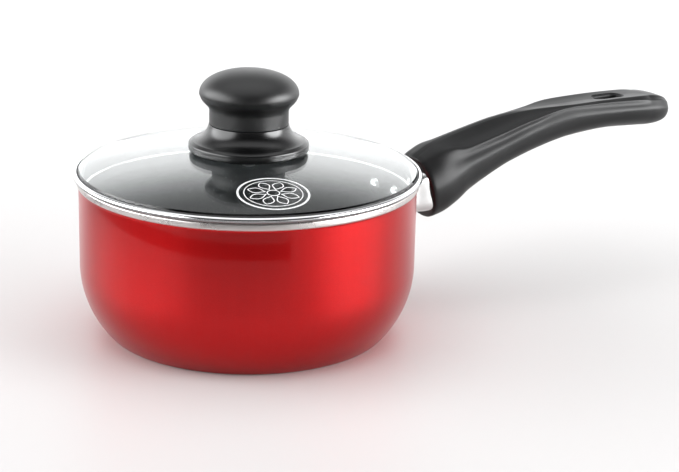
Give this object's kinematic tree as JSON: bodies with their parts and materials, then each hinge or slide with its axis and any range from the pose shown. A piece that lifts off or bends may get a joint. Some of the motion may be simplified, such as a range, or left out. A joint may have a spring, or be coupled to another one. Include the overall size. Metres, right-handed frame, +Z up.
{
  "type": "saucepan with glass lid",
  "caption": "Small deep saucepan with a curved bowl bottom, a long sculpted handle and a domed glass lid with a knob that lifts off.",
  "frame": {"origin": "centre of the pan's flat base, on the surface it stands on", "axes": "+Z up along the pan's and lid's common axis, +X along the handle away from the pan, +Y to the left of the handle"},
  "size_m": [0.3448, 0.166, 0.1274],
  "materials": {
    "red_enamel": "glossy metallic red outside, bare aluminium lip, dark grey non-stick inside",
    "bracket_steel": "plain sheet steel",
    "rivet_aluminium": "satin",
    "fastener_steel": "zinc plated",
    "polished_steel": "polished",
    "black_phenolic": "satin to gloss black moulding",
    "clear_glass": "clear tempered",
    "insert_brass": "turned",
    "silicone": "matte"
  },
  "bodies": {
    "pan": {"pan_body": "red_enamel", "handle_bracket": "bracket_steel", "bracket_rivets": "rivet_aluminium", "bracket_nut": "fastener_steel", "flame_guard": "polished_steel", "handle_grip": "black_phenolic", "handle_screw": "fastener_steel", "handle_lock_washer": "fastener_steel", "handle_flat_washer": "fastener_steel"},
    "lid": {"lid_glass": "clear_glass", "lid_rim_band": "polished_steel", "knob_base": "black_phenolic", "knob_cap": "black_phenolic", "knob_insert": "insert_brass", "knob_gasket": "silicone", "glass_bush": "silicone", "lid_seal_washer": "silicone", "knob_cup_washer": "fastener_steel", "knob_lock_washer": "fastener_steel", "knob_screw": "fastener_steel"}
  },
  "joints": [
    {"name": "lid_lift", "type": "slide", "parent": "pan", "child": "lid", "axis": [0, 0, 1], "range_m": [0, 0.1]}
  ]
}
